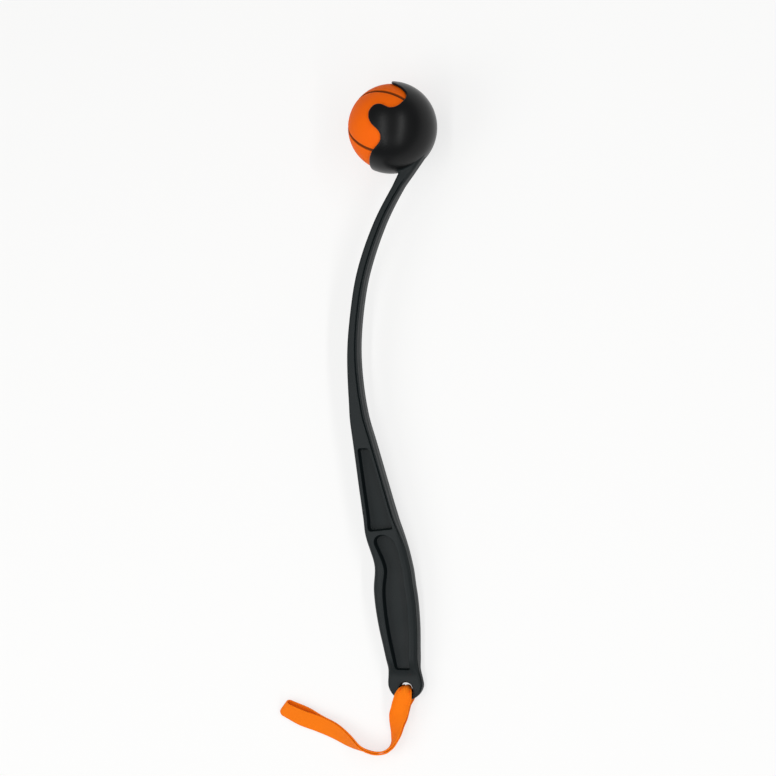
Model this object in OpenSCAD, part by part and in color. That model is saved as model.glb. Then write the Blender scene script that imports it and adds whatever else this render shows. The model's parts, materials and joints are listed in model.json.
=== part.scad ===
// Dog ball launcher: a moulded stick with a snap-in ball cup, a rubber ball and a wrist strap.
// It is drawn about the ball's centre, with the stick running along -Y and its sides facing +Z and -Z,
// and is then laid on its side, so that the cup and the grip rest on the ground at z = 0.

/* [Ball] */
// Diameter of the ball
ball_d = 65; // [60:0.5:70]
// Wall of the hollow rubber ball
ball_wall = 4.5; // [3:0.5:8]
// Width of the half-round grooves moulded round the ball
ball_groove = 1.8; // [0.8:0.1:2]
// Angle between the two grooves
ball_cross = 86; // [85:1:95]

/* [Cup] */
// Gap between the ball and the cup
ball_gap = 0.3; // [0.2:0.05:0.6]
// Wall of the cup
cup_wall = 1.7; // [1.4:0.1:3]
// How far the mouth is turned up towards the top of the cup, in degrees
mouth_tilt = 15; // [0:1:30]
// Reach of the top tongue round the ball, in degrees from the bottom of the cup
tongue_reach = 102; // [96:1:108]
// Reach at the gaps beside the tongue
gap_reach = 70; // [60:1:80]
// Reach of the two side ears
ear_reach = 108; // [100:1:114]
// Reach at the notches below the ears
notch_reach = 84; // [75:1:95]
// Reach of the scoop at the foot of the mouth
scoop_reach = 98; // [92:1:106]
// Where the gaps are round the mouth, in degrees from the tongue
gap_at = 45; // [40:1:48]
// Where the ears are
ear_at = 79; // [74:1:84]
// Where the notches are
notch_at = 109; // [104:1:114]
// Where the scoop starts
scoop_at = 142; // [134:1:160]
// Half the width of the tongue's level top, in degrees
tongue_level = 13; // [8:1:18]
// Half the length of the level stretch at each ear, gap and notch, in degrees
lip_level = 3.5; // [2:0.5:5]
// How far along the climb from a gap to an ear its steepest place is, as a share of that climb
ear_bias = 0.8; // [0.5:0.05:0.85]

/* [Shaft] */
// Depth of the shaft from front to back at its slimmest
shaft_depth = 7.6; // [6:0.1:10]
// Thickness of the shaft from side to side
shaft_thick = 14; // [11:0.5:16]
// How far the shaft bows forward of the ball's centre
shaft_bow = 28.8; // [20:0.2:36]
// Where the shaft bows most, down from the ball's centre
bow_at = 174; // [160:1:190]
// Distance of the shadow groove from the back of the stick
groove_inset = 1.8; // [1.5:0.1:2.5]
// Width of the shadow groove
groove_w = 1.4; // [1:0.1:1.6]
// Depth of the shadow groove
groove_depth = 0.9; // [0.4:0.1:1.2]

/* [Handle] */
// Where the handle starts, down from the ball's centre
handle_at = 236; // [230:1:242]
// Where the grip starts, at the flare above the first finger
grip_at = 312; // [306:1:318]
// Where the stick ends
stick_end = 429; // [422:1:440]
// Depth of the grip at its fullest
grip_depth = 31.5; // [28:0.5:34]
// Depth of the flare above the first finger
flare_depth = 28.5; // [26:0.5:30]
// Thickness of the grip
grip_thick = 18; // [16:0.5:22]
// Depth of the waist above the rounded end
waist_depth = 24; // [20:0.2:25]
// Diameter of the rounded end
end_d = 26.8; // [24:0.2:28]
// Thickness of the rounded end
end_thick = 8.5; // [8:0.5:10]
// Web left between the hollows of the two sides
web = 3.6; // [2.5:0.1:5]
// Rim in front of the grip's hollow
grip_rim_front = 6.4; // [5:0.1:8]
// Rim behind the grip's hollow
grip_rim_back = 5.8; // [5:0.1:7]
// Rim in front of the upper hollow
upper_rim_front = 3; // [2.5:0.1:4]
// Rim behind the upper hollow
upper_rim_back = 5; // [4:0.1:6]
// Radius of the grip's edges
grip_round = 5; // [3:0.5:5]
// Radius of the shaft's front edges
edge_round = 1.8; // [1:0.1:2.5]
// Radius of the shaft's back edges
back_round = 0.8; // [0.5:0.1:1]

/* [Strap] */
// Diameter of the strap's hole
hole_d = 10.2; // [9.5:0.1:11]
// Bevel at both ends of the hole
hole_bevel = 1; // [0.6:0.1:1.5]
// Wall left between the hole and the end of the stick
hole_wall = 3.6; // [3:0.1:5]
// Width of the tape
tape_w = 15; // [13:0.5:16]
// Thickness of the tape
tape_thick = 1.2; // [0.8:0.1:1.4]
// Gap between the tape and the stick
tape_gap = 0.5; // [0.3:0.1:0.8]

/* [Hidden] */
$fn = 96;
black = "#1c1d1f";
orange = "#f6690a";
webbing = "#f8811b";
thread = "#e2740f";

ball_r = ball_d / 2;
cup_in = ball_r + ball_gap;
cup_r = cup_in + cup_wall;

// How the ball happens to lie in the cup: the axis of its first groove, then its turn about that axis
ball_lie = [0, 45, -113.7];
ball_spin = 5.8;

// A smooth curve through the rows of a table, read at t: Hermite pieces with slopes from the neighbours
function row_of(tab, t, i = 0) = i >= len(tab) - 2 || t < tab[i + 1][0] ? i : row_of(tab, t, i + 1);
function slope(tab, i, c) =
    let (a = max(i - 1, 0), b = min(i + 1, len(tab) - 1))
    (tab[b][c] - tab[a][c]) / (tab[b][0] - tab[a][0]);
function curve(tab, t, c = 1) =
    let (i = row_of(tab, t), step = tab[i + 1][0] - tab[i][0], u = (t - tab[i][0]) / step)
    tab[i][c] * (1 + 2 * u) * (1 - u) * (1 - u) + slope(tab, i, c) * step * u * (1 - u) * (1 - u)
    + tab[i + 1][c] * u * u * (3 - 2 * u) - slope(tab, i + 1, c) * step * u * u * (1 - u);

// A closed skin over a list of rings with the same number of points, capped or joined end to end
module loft(rings, closed = false) {
    m = len(rings[0]);
    n = len(rings);
    points = [for (r = rings) each r];
    skin = [
        for (i = [0 : closed ? n - 1 : n - 2], j = [0 : m - 1])
            let (
                k = (i + 1) % n, l = (j + 1) % m,
                a = i * m + j, b = i * m + l, c = k * m + l, d = k * m + j
            )
            each [[a, b, c], [a, c, d]]
    ];
    first = [for (j = [m - 1 : -1 : 0]) j];
    last = [for (j = [0 : m - 1]) (n - 1) * m + j];
    caps = closed ? [] : [first, last];
    polyhedron(points, concat(skin, caps));
}

// The stick's middle line and depth, by distance down from the ball's centre
end_r = end_d / 2;
end_at = stick_end - end_r;
end_x = 11.4;
neck_at = 0.61 * cup_r;
neck_x = 0.615 * cup_r;
spine = [
    [neck_at, neck_x],
    [46, 5],
    [72, -8.9],
    [bow_at - 66, 7.3 - shaft_bow],
    [bow_at - 32, 1.6 - shaft_bow],
    [bow_at, -shaft_bow],
    [handle_at - 22, 3.5 - shaft_bow],
    [handle_at, -20.65],
    [grip_at - 10, -5.7],
    [grip_at + 16, 2],
    [grip_at + 34, 3.2],
    [end_at - 12, 10.1],
    [end_at, end_x],
    [stick_end, end_x]
];
depths = [
    [neck_at, 0.34 * cup_r],
    [neck_at + 15, shaft_depth + 2.3],
    [46, shaft_depth],
    [100, shaft_depth],
    [150, shaft_depth],
    [200, shaft_depth + 2.4],
    [handle_at, shaft_depth + 7.6],
    [handle_at + 34, shaft_depth + 12.8],
    [grip_at - 20, flare_depth - 4.6],
    [grip_at - 8, flare_depth - 1],
    [grip_at + 1, flare_depth],
    [grip_at + 16, flare_depth - 0.8],
    [grip_at + 38, grip_depth],
    [grip_at + 60, grip_depth - 1.2],
    [end_at - 12, waist_depth],
    [end_at, end_d],
    [stick_end, end_d]
];
thicks = [
    [neck_at, shaft_thick - 1],
    [70, shaft_thick],
    [200, shaft_thick],
    [handle_at, shaft_thick + 1.4],
    [grip_at - 10, grip_thick - 0.4],
    [grip_at + 10, grip_thick],
    [end_at - 28, grip_thick],
    [end_at - 17, grip_thick - 0.4],
    [end_at - 6, end_thick + 0.8],
    [end_at, end_thick],
    [stick_end, end_thick]
];

// The half-round end narrows as a circle, and its rim is rounded as the sides are
function past_end(d) = max(d - end_at, 0) / end_r;
function half_depth(d) = curve(depths, d) / 2 * sqrt(max(1 - past_end(d) * past_end(d), 0.0004));
function front(d) = curve(spine, d) - half_depth(d);
function back(d) = curve(spine, d) + half_depth(d);
end_round = 2.4;
function rim_left(d) = max(end_round - (stick_end - d), 0);
function half_thick(d) =
    curve(thicks, d) / 2 - end_round + sqrt(end_round * end_round - rim_left(d) * rim_left(d));

// How far d has come from a to b, from 0 to 1
function ramp(d, a, b) = min(max((d - a) / (b - a), 0), 1);

// The grip is rounded fully, the shaft's front less and its back least, but softer near the cup
function grip_share(d) = ramp(d, grip_at - 22, grip_at + 2) * (1 - ramp(d, end_at - 8, end_at + 6));
function neck_share(d) = 0.6 * (1 - ramp(d, neck_at + 15, neck_at + 45));
most_round = 0.7;
function rounded(d, least, share) = min(least + (grip_round - least) * share, half_depth(d) * most_round);
function round_front(d) = rounded(d, edge_round, grip_share(d));
function round_back(d) = rounded(d, back_round, max(grip_share(d), neck_share(d)));

// The shadow groove fades in below the cup and out above the grip
function groove_at(d) =
    groove_depth * ramp(d, neck_at + 13, neck_at + 25) * (1 - ramp(d, grip_at - 38, grip_at - 24));

corner_steps = 4;
function corner(x, z, r, a) = [
    for (i = [0 : corner_steps])
        let (t = a - 90 * i / corner_steps)
        [x + r * cos(t), z + r * sin(t)]
];
function section(d) =
    let (
        f = front(d), b = back(d), h = half_thick(d),
        rf = min(round_front(d), h * most_round), rb = min(round_back(d), h * most_round),
        room = b - rb - f - rf,
        gx = b - rb - min(groove_inset - back_round, room / 2),
        gw = min(groove_w, room * most_round) / 2,
        e = groove_at(d)
    )
    concat(
        corner(f + rf, h - rf, rf, 180),
        [[gx - gw, h], [gx, h - e], [gx + gw, h]],
        corner(b - rb, h - rb, rb, 90),
        corner(b - rb, rb - h, rb, 0),
        [[gx + gw, -h], [gx, e - h], [gx - gw, -h]],
        corner(f + rf, rf - h, rf, -90)
    );
function stick_ring(d) = [for (p = section(d)) [p[0], -d, p[1]]];

// Equal steps of at most a given size from one distance to another
function steps(a, b, size) = let (n = ceil((b - a) / size)) [for (i = [0 : n]) a + (b - a) * i / n];
end_steps = 12;
end_rows = [for (i = [1 : end_steps]) end_at + end_r * sin(88 * i / end_steps)];

// The ground under the laid stick, in the stick's own frame: it touches the cup and the end of the grip
lay = min([
    for (d = steps(grip_at, end_at, 1))
        let (h = half_thick(d))
        asin(cup_r / norm([d, h])) - atan2(h, d)
]);
function ground(y) = (-cup_r - y * sin(lay)) / cos(lay);

// The strap's route between its two layers, from the hole to the fold. Each row has x from the hole,
// y from the end of the stick, the lift off the ground, the twist, half the gap between the layers,
// how far the under layer is off to the front, how far the layers lean apart and how far the tape is
// pulled askew
hole_x = end_x + 0.8;
hole_y = hole_d / 2 + hole_wall - stick_end;
eye_z = end_thick / 2 + tape_gap + tape_thick / 2;
fold_r = 1.6;
layer = tape_thick / 2 + 0.3;
tape_lift = 0.4;
function rest(twist, gap, off) =
    (tape_w / 2 + abs(off)) * abs(sin(twist)) + (gap + tape_thick / 2) * abs(cos(twist));
eye_out = 3;
eye_lift = -ground(-stick_end - eye_out) - rest(0, eye_z, 0);
strap_route = [
    [-2.9, -eye_out, eye_lift, 0, eye_z, -2.6, 0, 0],
    [-3.6, -9, tape_lift, 8, 5, -1.8, 0, 0],
    [-6.2, -17, tape_lift, 32, 2, -0.8, 0, 0],
    [-8, -26, tape_lift, 54, layer, 0, 0, 0],
    [-10.8, -34, tape_lift, 78, layer, 0, 0, 0],
    [-16.6, -40, tape_lift, 95, layer, 0, 0, 0],
    [-25.2, -41, tape_lift, 101, layer, 0, 0, 0],
    [-34.6, -37.6, tape_lift, 108, layer, 0, 0, 0],
    [-44.2, -32, tape_lift, 131, layer, 0, 0, 0],
    [-56.2, -25.4, tape_lift, 148, layer, 0, 0, 0],
    [-69.2, -20.4, tape_lift, 155, layer, 0, 1, 0],
    [-82.2, -15.6, tape_lift, 157, 1.2, 0, 6, 0.08],
    [-94.4, -11, tape_lift, 153, fold_r, 0, 12, 0.2]
];
route_rows = [for (i = [0 : len(strap_route) - 1]) concat([i], strap_route[i])];
function along(s) = [for (c = [1 : 8]) curve(route_rows, s, c)];
function route_mid(s) =
    let (p = along(s), y = p[1] - stick_end)
    [hole_x + p[0], y, ground(y) + rest(p[3], p[4], p[5]) + p[2]];
function unit(v) = v / norm(v);
function heading(s) =
    let (e = 0.02, a = max(s - e, 0), b = min(s + e, len(strap_route) - 1))
    unit(route_mid(b) - route_mid(a));

// A frame along the tape: its middle, its ways along and across, and its curl in degrees a millimetre.
// A turn carries it round the fold from the upper layer to the under one. The upper layer comes out of
// the hole still curled, and flattens over the first rows
keep_curl = 0.4;
flat_at = 2.6;
function curl_left(s, side) = side > 0 ? keep_curl * full_curl * (1 - ease(ramp(s, 0, flat_at))) : 0;
function tape_frame(s, side, turn = 0) =
    let (
        t = heading(s), flat = unit(cross([0, 0, 1], t)), up = cross(t, flat), p = along(s),
        w = cos(p[3]) * flat + sin(p[3]) * up, n = cross(t, w),
        out = side * cos(turn) * n + sin(turn) * t,
        lean = cos(p[6]) * w + sin(p[6]) * out,
        off = side < 0 ? p[5] : 0
    )
    [
        route_mid(s) + p[4] * out + off * w + tape_w / 2 * (lean - w),
        side * cos(turn) * t - sin(turn) * n,
        unit(lean - p[7] * t),
        curl_left(s, side)
    ];

// In the hole the tape curls against the wall, and both ends come out turned a little to the front
hug_r = hole_d / 2 - tape_gap - tape_thick / 2;
full_curl = 180 / PI / hug_r;
bend_r = 2.4;
uncurl = 1.2;
over_turn = -12;
under_turn = -24;
function eye_frame(a, side) =
    let (
        q = (side < 0 ? under_turn : over_turn) - 90, out = [cos(q), sin(q), 0],
        r = hug_r + bend_r * (1 - cos(a)), z = side * (eye_z - bend_r + bend_r * sin(a))
    )
    [
        [hole_x, hole_y, z] + r * out,
        side * sin(a) * out + [0, 0, cos(a)],
        [-sin(q), cos(q), 0],
        curl_left(0, side) + (full_curl - curl_left(0, side)) * pow(1 - a / 90, uncurl)
    ];
out_steps = 48;
far = len(strap_route) - 1;
eye_step = 15;
fold_step = 22.5;
tape_frames = concat(
    [for (a = [90 : -eye_step : 0]) eye_frame(a, -1)],
    [for (a = [0 : eye_step : 90]) eye_frame(a, 1)],
    [for (i = [0 : out_steps]) tape_frame(far * i / out_steps, 1)],
    [for (a = [fold_step : fold_step : 180 - fold_step]) tape_frame(far, 1, a)],
    [for (i = [out_steps : -1 : 0]) tape_frame(far * i / out_steps, -1)]
);
tape_cuts = 4;
function tape_ring(f) =
    let (n = unit(cross(f[1], f[2])), k = f[3])
    [
        for (side = [1, -1], i = [0 : tape_cuts])
            let (
                u = side * (i / tape_cuts - 0.5) * tape_w, a = k * u, r = k > 0 ? 180 / PI / k : 0,
                x = k > 0 ? r * sin(a) : u, z = k > 0 ? r * (1 - cos(a)) : 0,
                h = -side * tape_thick / 2
            )
            f[0] + f[2] * (x - h * sin(a)) + n * (z + h * cos(a))
    ];

// Lays the stick, the ball and the strap on the ground and centres them over the origin
strap_left = hole_x - 100.4;
strap_low = -stick_end - 43.7;
module laid() {
    translate([-(cup_r + strap_left) / 2, -(cup_r + strap_low * cos(lay)) / 2, cup_r])
        rotate([lay, 0, 0])
            children();
}

// The lip's reach at an angle round the mouth, and where the climb or fall that follows is steepest
lip = [
    [0, tongue_reach, 0.5],
    [tongue_level, tongue_reach, 0.5],
    [gap_at - lip_level, gap_reach, 0.5],
    [gap_at + lip_level, gap_reach, ear_bias],
    [ear_at - lip_level, ear_reach, 0.5],
    [ear_at + lip_level, ear_reach, 0.5],
    [notch_at - lip_level, notch_reach, 0.5],
    [notch_at + lip_level, notch_reach, 0.45],
    [scoop_at, scoop_reach, 0.5],
    [180, scoop_reach, 0.5]
];
function ease(u) = (1 - cos(180 * u)) / 2;
function reach(phi) =
    let (
        p = min(phi, 360 - phi), i = row_of(lip, p),
        u = (p - lip[i][0]) / (lip[i + 1][0] - lip[i][0])
    )
    lip[i][1] + (lip[i + 1][1] - lip[i][1]) * ease(pow(u, ln(0.5) / ln(lip[i][2])));
lip_steps = 160;
module mouth() {
    far_r = 2 * cup_r;
    rim = [
        for (i = [0 : lip_steps - 1])
            let (phi = 360 * i / lip_steps, t = reach(phi))
            far_r * [sin(t) * cos(phi), sin(t) * sin(phi), -cos(t)]
    ];
    points = concat([[0, 0, 0], [0, 0, 1.5 * far_r]], rim);
    skin = [
        for (i = [0 : lip_steps - 1])
            let (a = 2 + i, b = 2 + (i + 1) % lip_steps)
            each [[0, a, b], [1, b, a]]
    ];
    polyhedron(points, skin);
}

// Turns the mouth's own axis forward and up, with the tongue at the top
module to_mouth() {
    multmatrix([
        [sin(mouth_tilt), 0, -cos(mouth_tilt), 0],
        [cos(mouth_tilt), 0, sin(mouth_tilt), 0],
        [0, -1, 0, 0],
        [0, 0, 0, 1]
    ])
        children();
}
module ball_cup() {
    color(black)
        laid()
            to_mouth()
                difference() {
                    sphere(cup_r);
                    sphere(cup_in);
                    mouth();
                }
}

module shaft() {
    color(black)
        laid()
            difference() {
                loft([for (d = steps(neck_at, handle_at, 5)) stick_ring(d)]);
                sphere(cup_r);
            }
}

// The outline of a hollow between two distances, set in from the front and the back of the stick, with
// corners of its own radius at its upper and its lower end
corner_rows = 6;
least_end = 1;
function bite(e, r) = r - sqrt(max(r * r - (r - e) * (r - e), 0));
function pinch(d, a, b, r_up, r_low) =
    d < a + r_up ? bite(d - a, r_up) : d > b - r_low ? bite(b - d, r_low) : 0;
function hollow_rows(a, b, r_up, r_low) = concat(
    [for (i = [0 : corner_rows - 1]) a + r_up * (1 - cos(90 * i / corner_rows))],
    steps(a + r_up, b - r_low, 5),
    [for (i = [1 : corner_rows]) b - r_low * (1 - sin(90 * i / corner_rows))]
);
module hollow(a, b, rim_front, rim_back, r_up, r_low) {
    rows = hollow_rows(a, b, r_up, r_low);
    sides = [
        for (d = rows)
            let (
                f = front(d) + rim_front, k = back(d) - rim_back,
                e = min(pinch(d, a, b, r_up, r_low), (k - f - least_end) / 2)
            )
            [f + e, k - e, -d]
    ];
    outline = concat(
        [for (s = sides) [s[0], s[2]]],
        [for (i = [len(sides) - 1 : -1 : 0]) [sides[i][1], sides[i][2]]]
    );
    for (side = [0, 1])
        mirror([0, 0, side])
            translate([0, 0, web / 2])
                linear_extrude(grip_thick)
                    polygon(outline);
}
upper_from = handle_at + 6;
upper_to = grip_at - 12;
upper_corner = 2;
grip_from = grip_at - 7;
grip_to = end_at - 10;
grip_corner = 6;
low_corner = 2;
module handle() {
    color(black)
        laid()
            difference() {
                loft([for (d = concat(steps(handle_at, end_at, 4), end_rows)) stick_ring(d)]);
                hollow(upper_from, upper_to, upper_rim_front, upper_rim_back, upper_corner, upper_corner);
                hollow(grip_from, grip_to, grip_rim_front, grip_rim_back, grip_corner, low_corner);
                translate([hole_x, hole_y, 0]) {
                    cylinder(h = 2 * grip_thick, d = hole_d, center = true);
                    for (side = [0, 1])
                        mirror([0, 0, side])
                            translate([0, 0, end_thick / 2 - hole_bevel])
                                cylinder(h = 2 * hole_bevel, d1 = hole_d, d2 = hole_d + 4 * hole_bevel);
                }
            }
}

// Half of the ball, with half of the groove where the halves meet and the groove that crosses it
module ring_groove() {
    rotate_extrude()
        translate([ball_r, 0])
            circle(d = ball_groove, $fn = 24);
}
module half_ball(turn) {
    color(orange)
        laid()
            rotate(ball_lie)
                rotate([turn, 0, ball_spin])
                    difference() {
                        sphere(ball_r);
                        sphere(ball_r - ball_wall);
                        translate([0, 0, -ball_d])
                            cube(2 * ball_d, center = true);
                        ring_groove();
                        rotate([0, turn > 0 ? 180 - ball_cross : ball_cross, 0])
                            ring_groove();
                    }
}
module ball_half_near() {
    half_ball(0);
}
module ball_half_far() {
    half_ball(180);
}

module wrist_strap() {
    color(webbing)
        laid()
            loft([for (f = tape_frames) tape_ring(f)], closed = true);
}

// Stitches in two rows across the under layer near the hole, where the ends of the tape are joined
stitch_count = 6;
stitch_len = 1.6;
stitch_d = 0.6;
stitch_gap = 0.1;
stitch_at = 1.1;
stitch_rows = 0.4;
seam_share = 0.8;
module strap_stitching() {
    color(thread)
        laid()
            for (row = [0, 1], i = [0 : stitch_count - 1]) {
                f = tape_frame(stitch_at + stitch_rows * row, -1);
                n = unit(cross(f[1], f[2]));
                across = seam_share * tape_w * ((i + 0.5) / stitch_count - 0.5);
                place = f[0] + n * ((tape_thick + stitch_d) / 2 + stitch_gap) + f[2] * across;
                multmatrix([
                    [f[2][0], n[0], f[1][0], place[0]],
                    [f[2][1], n[1], f[1][1], place[1]],
                    [f[2][2], n[2], f[1][2], place[2]],
                    [0, 0, 0, 1]
                ])
                    cube([stitch_len, stitch_d, stitch_d], center = true);
            }
}

ball_cup();
shaft();
handle();
ball_half_near();
ball_half_far();
wrist_strap();
strap_stitching();
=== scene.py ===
# %% [markdown]
# # A dog's ball launcher, dressed around its CAD frame
#
# The real thing is a black moulded stick about 46 cm long. A springy cup at its top snaps round a
# 65 mm rubber ball, a slim bowed shaft runs down to a contoured handle, and a woven strap is
# threaded through a hole in the handle's end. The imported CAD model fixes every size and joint.
# This script keeps that frame and gives it finer meshes, real finishes, light and a camera.

# %% Load the frame
import json
import math

import bmesh
import bpy
import numpy as np
from mathutils import Matrix, Vector


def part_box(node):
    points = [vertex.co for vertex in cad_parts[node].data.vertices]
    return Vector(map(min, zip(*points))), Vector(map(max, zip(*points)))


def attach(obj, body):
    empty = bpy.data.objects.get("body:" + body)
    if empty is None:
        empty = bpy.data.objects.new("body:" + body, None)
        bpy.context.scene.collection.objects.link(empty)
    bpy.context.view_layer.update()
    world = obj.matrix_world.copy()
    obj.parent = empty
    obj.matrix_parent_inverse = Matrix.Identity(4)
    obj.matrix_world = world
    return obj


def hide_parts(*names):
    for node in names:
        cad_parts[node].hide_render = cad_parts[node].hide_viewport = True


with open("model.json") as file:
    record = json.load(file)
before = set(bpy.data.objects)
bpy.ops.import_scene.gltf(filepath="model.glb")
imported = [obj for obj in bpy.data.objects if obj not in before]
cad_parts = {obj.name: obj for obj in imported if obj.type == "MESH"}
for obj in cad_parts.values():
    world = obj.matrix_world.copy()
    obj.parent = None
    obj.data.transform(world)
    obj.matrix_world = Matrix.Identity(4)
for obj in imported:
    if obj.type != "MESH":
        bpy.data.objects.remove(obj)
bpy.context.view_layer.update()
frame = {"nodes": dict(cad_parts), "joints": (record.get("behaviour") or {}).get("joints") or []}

MM = 0.001
scene = bpy.context.scene
print("CAD nodes:", sorted(frame["nodes"]))

# %% [markdown]
# ## One drawing frame for the whole stick
#
# The stick is easiest to draw flat: the ball's centre at zero, the stick running along -Y, its two
# sides facing +Z and -Z, all in millimetres. The launcher lies on the floor tipped a few degrees,
# because the cup is fatter than the grip. The tip is read from the ball's joint and the place from
# the ball's own nodes, so the drawing lands exactly on the CAD without any fitting.

# %% From the drawing to the floor
release = Vector(next(j for j in frame["joints"] if j["name"] == "ball_release")["axis"])
LAY = math.atan2(release.z, release.y)
TIP = np.array(Matrix.Rotation(LAY, 3, "X"))
halves = np.array([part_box(n) for n in ("ball_half_near", "ball_half_far")])
BALL_AT = (halves[:, 0].min(0) + halves[:, 1].max(0)) / 2


def laid(points):
    """Points of the drawing, in mm, as they lie on the floor, in metres."""
    return np.asarray(points, float) * MM @ TIP.T + BALL_AT


print("tipped by", round(math.degrees(LAY), 3), "degrees, ball at", BALL_AT.round(4))

# %% [markdown]
# ## Skins over rings
#
# Most pieces here are skins: rows of points joined by four-sided faces. Building the points with
# numpy keeps every curve exact, and a mesh of plain quads shades cleanly. One helper makes the
# faces between rings, and one makes the object, turns its faces outwards and smooths it.

# %% Mesh helpers
WELD = 1e-7


def ring_faces(n, m, closed=False):
    """Faces over n rings of m points, joined end to end or capped."""
    faces = [
        (i * m + j, i * m + (j + 1) % m, (i + 1) % n * m + (j + 1) % m, (i + 1) % n * m + j)
        for i in range(n if closed else n - 1)
        for j in range(m)
    ]
    return faces if closed else faces + [tuple(range(m)), tuple(range((n - 1) * m, n * m))]


def smoothed(piece, crease):
    """Smooth shading, but for edges that turn by more than crease degrees."""
    piece.data.polygons.foreach_set("use_smooth", [True] * len(piece.data.polygons))
    piece.data.set_sharp_from_angle(angle=math.radians(crease))
    return piece


def new_piece(name, points, faces, crease=35):
    """An object of points, in metres, and faces, welded, turned outwards and smoothed."""
    mesh = bpy.data.meshes.new(name)
    mesh.from_pydata(np.asarray(points, float).reshape(-1, 3).tolist(), [], faces)
    work = bmesh.new()
    work.from_mesh(mesh)
    bmesh.ops.remove_doubles(work, verts=work.verts, dist=WELD)
    bmesh.ops.recalc_face_normals(work, faces=work.faces)
    work.to_mesh(mesh)
    work.free()
    piece = bpy.data.objects.new(name, mesh)
    scene.collection.objects.link(piece)
    return smoothed(piece, crease)


print("two capped rings of 4 points make", len(ring_faces(2, 4)), "faces")

# %% [markdown]
# ## Lines through a few rows
#
# On a drawing board a thin strip is bent round a few pins to draw a long, smooth line. Here the pins
# are the rows of a table, and a formula gives the line at any place between them. One of Blender's
# curves would bend just as well, but a formula can be asked for a single point.

# %% Smooth lines and ramps
def curve(rows, at):
    """A smooth line through a table's rows, read at one or many places."""
    t, v = np.array(rows, float).T
    before, after = np.r_[0, 0:len(t) - 1], np.r_[1:len(t), len(t) - 1]
    slope = (v[after] - v[before]) / (t[after] - t[before])
    i = np.clip(np.searchsorted(t, at, "right") - 1, 0, len(t) - 2)
    step = t[i + 1] - t[i]
    u = (np.asarray(at, float) - t[i]) / step
    return (
        v[i] * (1 + 2 * u) * (1 - u) ** 2 + slope[i] * step * u * (1 - u) ** 2
        + v[i + 1] * u * u * (3 - 2 * u) - slope[i + 1] * step * u * u * (1 - u)
    )


def ramp(d, a, b):
    """How far d is on the way from a to b, as a share from 0 to 1."""
    return min(max((d - a) / (b - a), 0), 1)


print("a line over 0, 1, 0, read halfway up:", float(curve([(0, 0), (1, 1), (2, 0)], 0.5)))

# %% [markdown]
# ## The stick's lines
#
# The stick is one injection moulding. Its shape is given by three lines along its length: where its
# middle runs, how deep it is from front to back, and how thick from side to side. They are the
# lines of the CAD source, repeated here by their rows, because this script reads no other file.

# %% The stick's tables, by distance down from the ball's centre
CUP_R = 34.5
NECK, HANDLE, GRIP, END = 21.045, 236, 312, 429
BELLY = GRIP + 38
END_R = 13.4
ROUND_END = END - END_R
SPINE = [
    (NECK, 21.2175), (46, 5), (72, -8.9), (108, -21.5), (142, -27.2), (174, -28.8), (HANDLE - 22, -25.3),
    (HANDLE, -20.65), (GRIP - 10, -5.7), (GRIP + 16, 2), (GRIP + 34, 3.2),
    (ROUND_END - 12, 10.1), (ROUND_END, 11.4), (END, 11.4),
]
DEPTHS = [
    (NECK, 11.73), (NECK + 15, 9.9), (46, 7.6), (100, 7.6), (150, 7.6), (200, 10), (HANDLE, 15.2),
    (HANDLE + 34, 20.4), (GRIP - 20, 23.9), (GRIP - 8, 27.5), (GRIP + 1, 28.5), (GRIP + 16, 27.7),
    (BELLY, 31.5), (GRIP + 60, 30.3), (ROUND_END - 12, 24), (ROUND_END, 26.8), (END, 26.8),
]
THICKS = [
    (NECK, 13), (70, 14), (200, 14), (HANDLE, 15.4), (GRIP - 10, 17.6), (GRIP + 10, 18),
    (ROUND_END - 28, 18), (ROUND_END - 17, 17.6), (ROUND_END - 6, 9.3), (ROUND_END, 8.5), (END, 8.5),
]
print("rows of the three lines:", len(SPINE), len(DEPTHS), len(THICKS))

# %% The stick's edges
END_CLOSES, RIM_ROUND = 0.02, 2.4


def half_depth(d):
    """Half the depth from front to back, which closes like a disc at the round end."""
    past = max(d - ROUND_END, 0) / END_R
    return curve(DEPTHS, d) / 2 * max(math.sqrt(max(1 - past * past, 0)), END_CLOSES)


def front(d):
    """Where the front edge runs."""
    return curve(SPINE, d) - half_depth(d)


def back(d):
    """Where the back edge runs."""
    return curve(SPINE, d) + half_depth(d)


def half_thick(d):
    """Half the thickness from side to side, rounded off at the very end."""
    left = max(RIM_ROUND - (END - d), 0)
    return curve(THICKS, d) / 2 - RIM_ROUND + math.sqrt(RIM_ROUND**2 - left**2)


print("grip depth", round(2 * half_depth(BELLY), 1), "mm, thickness", round(2 * half_thick(BELLY), 1), "mm")

# %% [markdown]
# ## A section of the stick
#
# Each section is a rounded oblong. The grip has full round edges for the palm, the shaft has softer
# front edges and crisp back ones. The outline is walked by its length from the back, so that a groove
# can be cut square to the surface, on a flat as on a round.

# %% Walk round a section
def walk(s, f, b, h, rf, rb):
    """Points and outward ways of a section's upper half, by length s from its back flank.

    The section lies between f and b, is h thick to either side, and has edge radii rf and rb.
    """
    quarter, flat = rb * math.pi / 2, b - rb - f - rf
    p, q = np.clip(s, 0, quarter) / rb, np.clip(s - quarter - flat, 0, None) / rf
    x = b - rb * (1 - np.cos(p)) - np.clip(s - quarter, 0, flat) - rf * np.sin(q)
    z = h - rb * (1 - np.sin(p)) - rf * (1 - np.cos(q))
    way = np.where(s < quarter + flat, p, q + math.pi / 2)
    return np.column_stack([x, z]), np.column_stack([np.cos(way), np.sin(way)])


corner = walk(np.array([0.0]), f=-10, b=10, h=6, rf=2, rb=2)[0][0]
print("a 20 x 12 mm section starts at", corner, "mm")

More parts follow.
